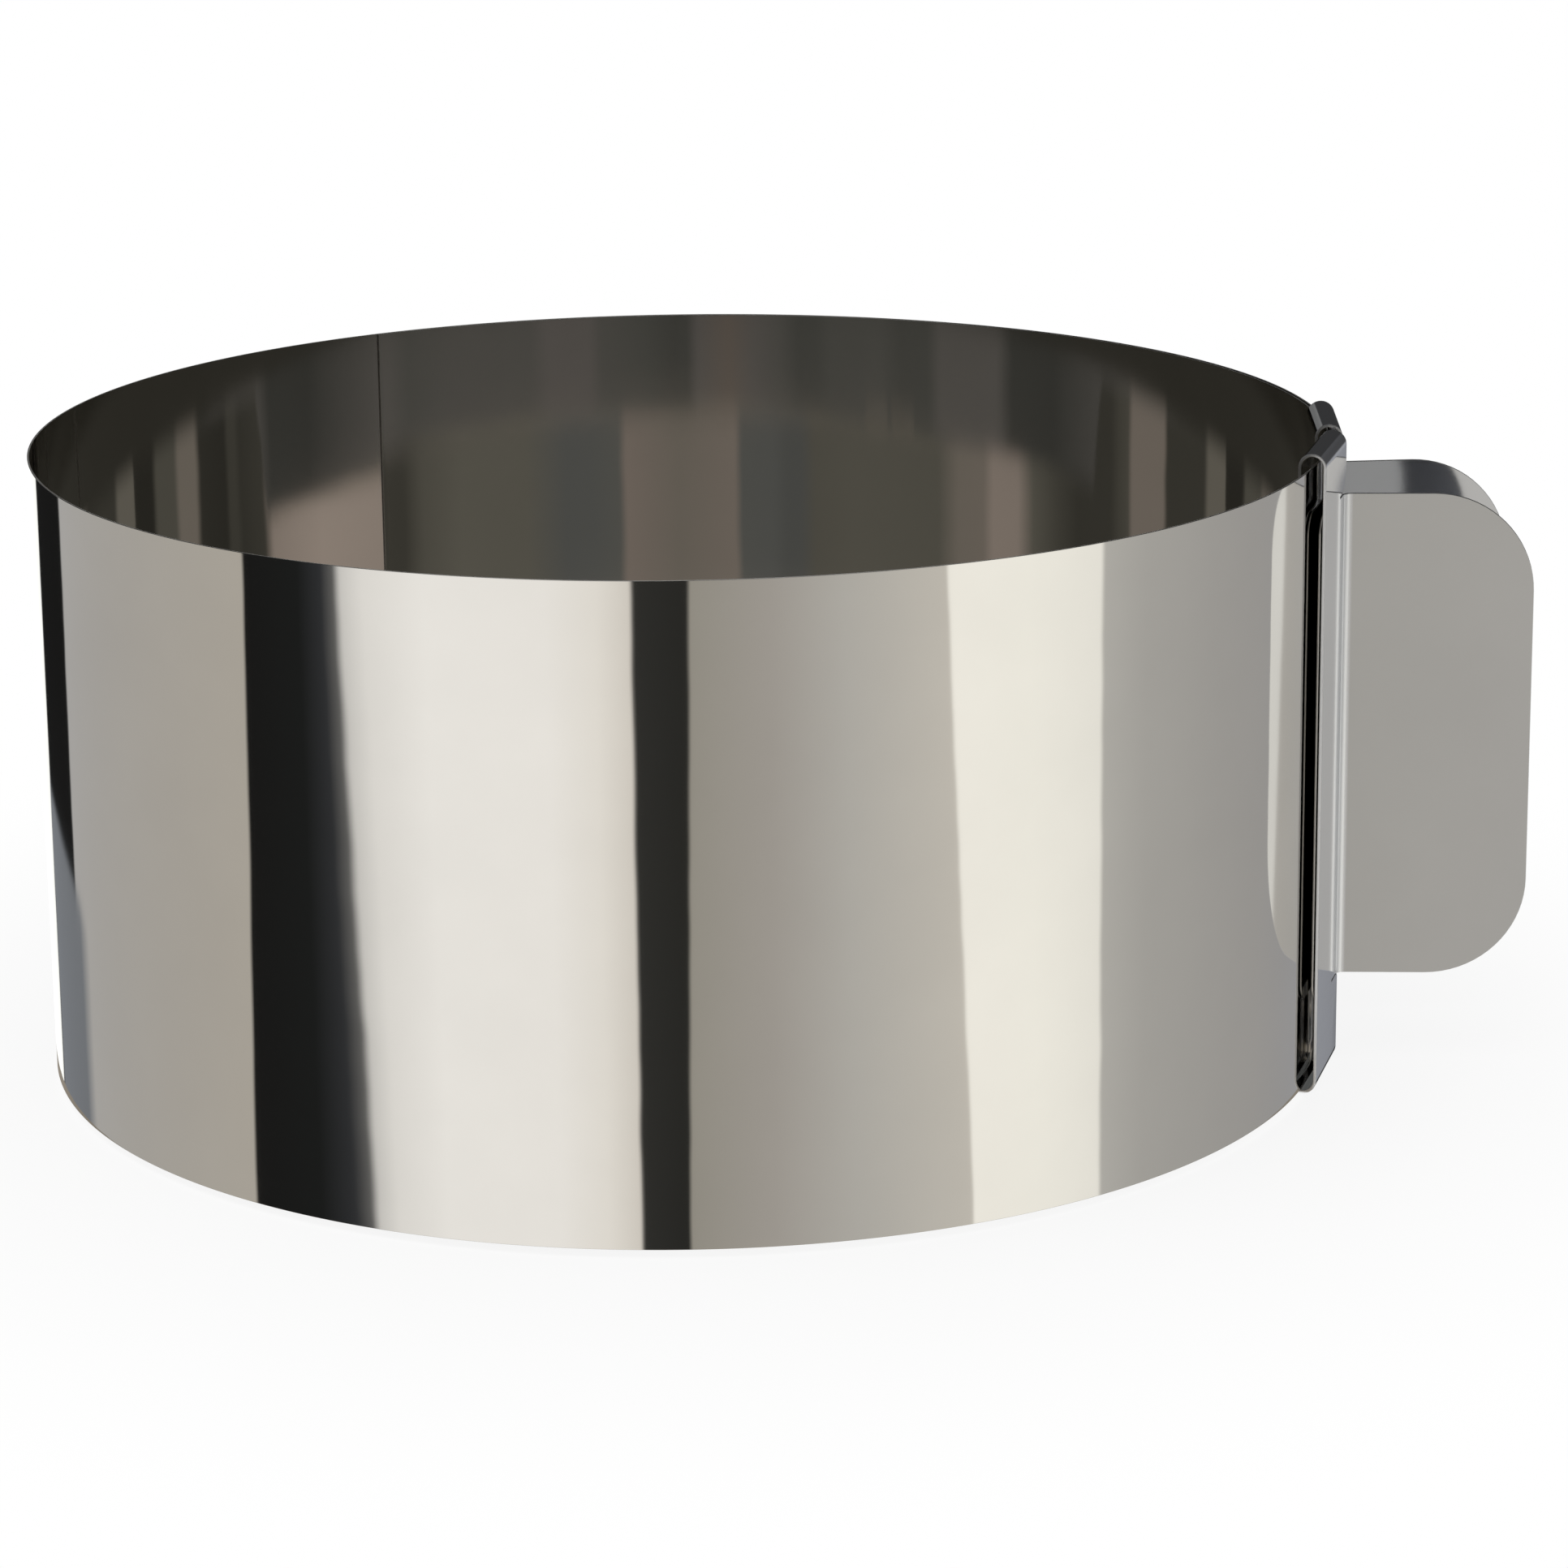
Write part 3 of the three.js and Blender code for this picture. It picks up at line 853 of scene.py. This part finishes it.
def studio_light_material(stage):
    """Softboxes, cards and flags round the ring, with the dim room above them."""
    material = empty_material("studio_round")
    tree = material.node_tree
    parts = ring_centred(tree)
    here = round_share(tree, parts)
    height = ranged(tree, parts["Z"], stage.mirror_low, stage.mirror_high)
    upright = math_node(tree, "SUBTRACT", here, card_shift(tree, here, height))
    light = fine_ramp(tree, upright, STUDIO_ROUND)
    light = mixed_colour(tree, below_flag(tree, here, parts["Z"]), light, FLAG_GAP)
    lit = ranged(tree, parts["Z"], CARD_TOP, CARD_FADE, soft=True)
    dusk = between(tree, ranged(tree, parts["Z"], DUSK_FROM, DUSK_TO), DUSK_LOW, DUSK_HIGH)
    level = between(tree, height, stage.studio_level * CARD_FOOT, stage.studio_level)
    level = math_node(tree, "MULTIPLY", level, math_node(tree, "MAXIMUM", lit, dusk))
    cards = node(tree, "ShaderNodeEmission", {"Color": light, "Strength": level})
    above = math_node(tree, "SUBTRACT", 1.0, lit)
    room = node(tree, "ShaderNodeEmission", {"Strength": above}, Color=opaque(ROOM_GREY))
    glow = node(tree, "ShaderNodeAddShader", {0: cards.outputs[0], 1: room.outputs[0]})
    return stage_surface(material, glow)


def plain_glow(name, value):
    material = empty_material(name)
    glow = node(material.node_tree, "ShaderNodeEmission", Color=opaque(value), Strength=1.0)
    return stage_surface(material, glow)


def shaded_floor_material(stage):
    """Glowing disc of painted shade: the floor inside the ring as its wall mirrors it, dimmer close to
    the wall.
    """
    material = empty_material("shaded_floor")
    tree = material.node_tree
    outwards = ranged(tree, axis_distance(tree, ring_centred(tree)), *SHADED_FLOOR_DIMS, soft=True)
    tone = mixed_colour(tree, outwards, stage.shade_middle, stage.shade_edge)
    glow = node(tree, "ShaderNodeEmission", {"Color": tone}, Strength=1.0)
    return stage_surface(material, glow)


def shade_tint(value, deep):
    """Neutral up to where the shade is no longer deep, warmer where more light falls in it."""
    warm = clamped((value - deep) / WARM_OVER)
    bright = clamped((value - BRIGHT_FROM) / BRIGHT_OVER)
    return tuple(
        value * (neutral - warmth * warm - glare * bright)
        for neutral, warmth, glare in zip(SHADE_NEUTRAL, SHADE_WARM, SHADE_BRIGHT)
    )


def wall_shade_material():
    """Painted shade and reflection that the foot of the inner wall shows to the wall across; clear from
    behind.
    """
    material = empty_material("wall_shade")
    tree = material.node_tree
    parts = ring_centred(tree)
    here = round_share(tree, parts)
    bounces = node(tree, "ShaderNodeLightPath").outputs["Glossy Depth"]
    twice = math_node(tree, "GREATER_THAN", bounces, SECOND_BOUNCE)

    neutral_to = [DEEP_ONCE if abs(at) < DEEP_ONCE_REACH else 0.0 for at, _ in SHADE_ROUND]
    once = [(at, shade_tint(value, deep)) for (at, value), deep in zip(SHADE_ROUND, neutral_to)]
    again = [(at, shade_tint(value, DEEP_AGAIN)) for at, value in SHADE_AGAIN]
    foot = ranged(tree, parts["Z"], *SHADE_FOOT, soft=True)
    upper = mixed_colour(tree, foot, SHADE_DEEP, fine_ramp(tree, here, again))
    light = mixed_colour(tree, twice, fine_ramp(tree, here, once), upper)
    # the painted shade and reflection glow; the sheet is seen only in the steel
    glow = node(tree, "ShaderNodeEmission", {"Color": light}, Strength=1.0)

    right = ranged(tree, here, *(share_at(degrees) for degrees in SHADE_RIGHT))
    off_front = math_node(tree, "ABSOLUTE", math_node(tree, "SUBTRACT", here, share_at(0.0)))
    far = ranged(tree, off_front, *(degrees / TURN for degrees in SHADE_FAR), soft=True)
    far = math_node(tree, "MAXIMUM", far, twice)
    top = between(tree, far, between(tree, right, SHADE_TOP, SHADE_TOP_RIGHT), SHADE_TOP_FAR)
    below = math_node(tree, "SUBTRACT", top, parts["Z"])
    low = ranged(tree, below, -SHADE_SOFT, SHADE_SOFT, soft=True)
    inner_side = node(tree, "ShaderNodeNewGeometry").outputs["Backfacing"]
    shown = math_node(tree, "MULTIPLY", low, inner_side)
    clear = node(tree, "ShaderNodeBsdfTransparent")
    surface = node(tree, "ShaderNodeMixShader", {0: shown, 1: clear.outputs[0], 2: glow.outputs[0]})
    return stage_surface(material, surface)


def floor_material(stage):
    """Pale floor that turns white away from the object, with the soft shadow kept beside it."""
    material = empty_material("pale_floor")
    tree = material.node_tree
    matt = node(tree, "ShaderNodeBsdfDiffuse", Color=opaque(stage.floor_colour))
    white = node(tree, "ShaderNodeEmission", Color=opaque(WHITE), Strength=1.0)
    distance = axis_distance(tree, ring_centred(tree))
    away = between(tree, ranged(tree, distance, *FLOOR_WHITENS, soft=True), FLOOR_BESIDE, 1.0)
    outside = between(tree, ranged(tree, distance, *FLOOR_WALL), FLOOR_INSIDE, 1.0)
    clear = math_node(tree, "MULTIPLY", away, outside)
    by_camera = node(tree, "ShaderNodeLightPath").outputs["Is Camera Ray"]
    seen = math_node(tree, "MULTIPLY", by_camera, clear)
    surface = node(tree, "ShaderNodeMixShader", {0: seen, 1: matt.outputs[0], 2: white.outputs[0]})
    return stage_surface(material, surface)


# Stage

def white_world():
    """White to the camera and in reflections, soft even light on everything else."""
    world = bpy.data.worlds.new("white_studio")
    world.use_nodes = True
    tree = world.node_tree
    tree.nodes.clear()
    path = node(tree, "ShaderNodeLightPath").outputs
    seen = math_node(tree, "MAXIMUM", path["Is Camera Ray"], path["Is Glossy Ray"])
    seen = math_node(tree, "MAXIMUM", seen, path["Is Transmission Ray"])
    soft = node(tree, "ShaderNodeBackground", Color=opaque(WHITE), Strength=EVEN_LIGHT)
    white = node(tree, "ShaderNodeBackground", Color=opaque(WHITE), Strength=1.0)
    mix = node(tree, "ShaderNodeMixShader", {0: seen, 1: soft.outputs[0], 2: white.outputs[0]})
    node(tree, "ShaderNodeOutputWorld", {"Surface": mix.outputs[0]})
    bpy.context.scene.world = world


def name_in_place(name):
    """Names the piece just added and keeps its place in its mesh."""
    piece = bpy.context.object
    piece.name = name
    bpy.ops.object.transform_apply()
    return piece


def level_round(name, radius, height, corners):
    """A round sheet that lies level on the ring's axis."""
    start_clear()
    bpy.ops.mesh.primitive_circle_add(
        vertices=corners, radius=radius, fill_type="NGON", location=(AXIS.x, AXIS.y, height)
    )
    return name_in_place(name)


def standing_round(name, radius, low, high, corners):
    """An open round wall that stands about the ring's axis."""
    start_clear()
    bpy.ops.mesh.primitive_cylinder_add(
        vertices=corners, radius=radius, depth=high - low, end_fill_type="NOTHING",
        location=(AXIS.x, AXIS.y, (low + high) / 2),
    )
    return name_in_place(name)


def only_in_reflections(piece):
    piece.visible_camera = piece.visible_diffuse = piece.visible_transmission = False
    piece.visible_shadow = piece.visible_volume_scatter = False
    piece.visible_glossy = True


def soft_lamp():
    """A wide lamp above the ring, which gives it its faint shadow."""
    start_clear()
    bpy.ops.object.light_add(type="AREA", location=LAMP_PLACE)
    lamp = bpy.context.object
    lamp.name = "soft_overhead"
    lamp.data.shape, lamp.data.size = "DISK", LAMP_SIZE
    lamp.data.energy = LAMP_POWER
    lamp.rotation_euler = (-lamp.location).to_track_quat("-Z", "Y").to_euler()
    lamp.visible_glossy = False


def place_camera(stage):
    """The camera at the photograph's viewing angle."""
    start_clear()
    bpy.ops.object.camera_add()
    camera = bpy.context.object
    camera.name = "photo_camera"
    back = Vector((0, -math.cos(stage.elevation), math.sin(stage.elevation)))
    ahead = -back
    right = Vector((1, 0, 0))
    view = ahead + right * math.tan(stage.aim_right) - right.cross(ahead) * math.tan(stage.aim_down)
    camera.location = AXIS + back * stage.distance
    camera.rotation_mode = "QUATERNION"
    camera.rotation_quaternion = view.to_track_quat("-Z", "Y") @ Quaternion((0, 0, 1), stage.roll)
    camera.data.lens, camera.data.sensor_width = stage.lens, SENSOR_WIDTH
    camera.data.clip_start, camera.data.clip_end = CLIP_NEAR, CLIP_FAR
    bpy.context.scene.camera = camera


# Operators

class CAKERING_OT_strip(bpy.types.Operator):
    """Cut the long strip flat, then roll it into the overlapping ring"""

    bl_idname = "cake_ring.strip"
    bl_label = "Roll the strip"

    def execute(self, context):
        s, h = context.scene.cake_ring_strip, context.scene.cake_ring_handle
        flat = cut_strip(s, *tab_span(h))
        seam = s.joint * s.radius
        turn = part_of_strip(flat, "strip_turn", seam, keep_outer_end=False)
        tail = part_of_strip(flat, "strip_tail", seam, keep_outer_end=True)
        bpy.data.objects.remove(flat)
        material = strip_steel(context.scene.cake_ring_finish)
        for piece in (turn, tail):
            roll(piece, s)
            wear(piece, material)
            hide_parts("band")
        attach(turn, "ring")
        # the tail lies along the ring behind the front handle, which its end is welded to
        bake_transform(tail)
        return {"FINISHED"}


class CAKERING_OT_handles(bpy.types.Operator):
    """Fold the two hooked handles and set them on the strip"""

    bl_idname = "cake_ring.handles"
    bl_label = "Fold the handles"

    def execute(self, context):
        h = context.scene.cake_ring_handle
        material = handle_steel(context.scene.cake_ring_finish)
        for side, place, tilt, lean, reach in (
            ("front", h.front_angle, h.front_tilt, h.front_lean, h.front_reach),
            ("rear", h.rear_angle, h.rear_tilt, h.rear_lean, h.rear_reach),
        ):
            handle = fold_handle(f"{side}_handle_sheet", h, lean, reach)
            set_on_strip(handle, h, place, tilt)
            wear(handle, material)
            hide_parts(f"{side}_handle")
            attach(handle, f"{side}_grip")
        return {"FINISHED"}


class CAKERING_OT_stage(bpy.types.Operator):
    """Set up the pale floor, the soft studio and the camera"""

    bl_idname = "cake_ring.stage"
    bl_label = "Set the stage"

    def execute(self, context):
        stage = context.scene.cake_ring_stage
        radius = context.scene.cake_ring_strip.radius
        start_clear()
        bpy.ops.mesh.primitive_plane_add(size=FLOOR_WIDTH, location=(0, 0, 0))
        floor = name_in_place("floor")
        wear(floor, floor_material(stage))
        floor.visible_glossy = False

        shaded = level_round("shaded_floor", radius + SHADED_FLOOR_MARGIN, SHADED_FLOOR_LIFT, corners=96)
        wear(shaded, shaded_floor_material(stage))
        shade = standing_round("wall_shade", radius - SHADE_CLEARANCE, *SHADE_SPAN, corners=192)
        wear(shade, wall_shade_material())
        drum = standing_round("studio_round", stage.studio_radius, *STUDIO_SPAN, corners=128)
        wear(drum, studio_light_material(stage))
        ceiling = level_round("dark_ceiling", stage.studio_radius, CEILING_HEIGHT, corners=64)
        wear(ceiling, plain_glow("dark_ceiling", CEILING_GREY))
        overhead = level_round("overhead_softbox", OVERHEAD_RADIUS, OVERHEAD_HEIGHT, corners=64)
        wear(overhead, plain_glow("overhead_softbox", WHITE))
        for card in (shaded, shade, drum, ceiling, overhead):
            only_in_reflections(card)

        soft_lamp()
        white_world()
        place_camera(stage)
        scene = context.scene
        scene.view_settings.view_transform = "Standard"
        scene.cycles.max_bounces = scene.cycles.glossy_bounces = BOUNCES
        return {"FINISHED"}


class CAKERING_PT_panel(bpy.types.Panel):
    """Settings and steps of the cake ring"""

    bl_label = "Cake ring"
    bl_idname = "CAKERING_PT_panel"
    bl_space_type = "VIEW_3D"
    bl_region_type = "UI"
    bl_category = "Cake ring"

    def draw(self, context):
        for step in STEPS:
            self.layout.operator(step.bl_idname)
        for name, group in SETTINGS:
            box = self.layout.box()
            box.label(text=group.__doc__)
            for key in group.__annotations__:
                box.prop(getattr(context.scene, name), key)


STEPS = (CAKERING_OT_strip, CAKERING_OT_handles, CAKERING_OT_stage)
CLASSES = (*(group for _, group in SETTINGS), *STEPS, CAKERING_PT_panel)


def register():
    for cls in CLASSES:
        bpy.utils.register_class(cls)
    for name, group in SETTINGS:
        setattr(bpy.types.Scene, name, PointerProperty(type=group))


def unregister():
    for name, _ in SETTINGS:
        delattr(bpy.types.Scene, name)
    for cls in reversed(CLASSES):
        bpy.utils.unregister_class(cls)


def main():
    register()
    bpy.ops.cake_ring.strip()
    bpy.ops.cake_ring.handles()
    bpy.ops.cake_ring.stage()


if __name__ == "__main__":
    main()
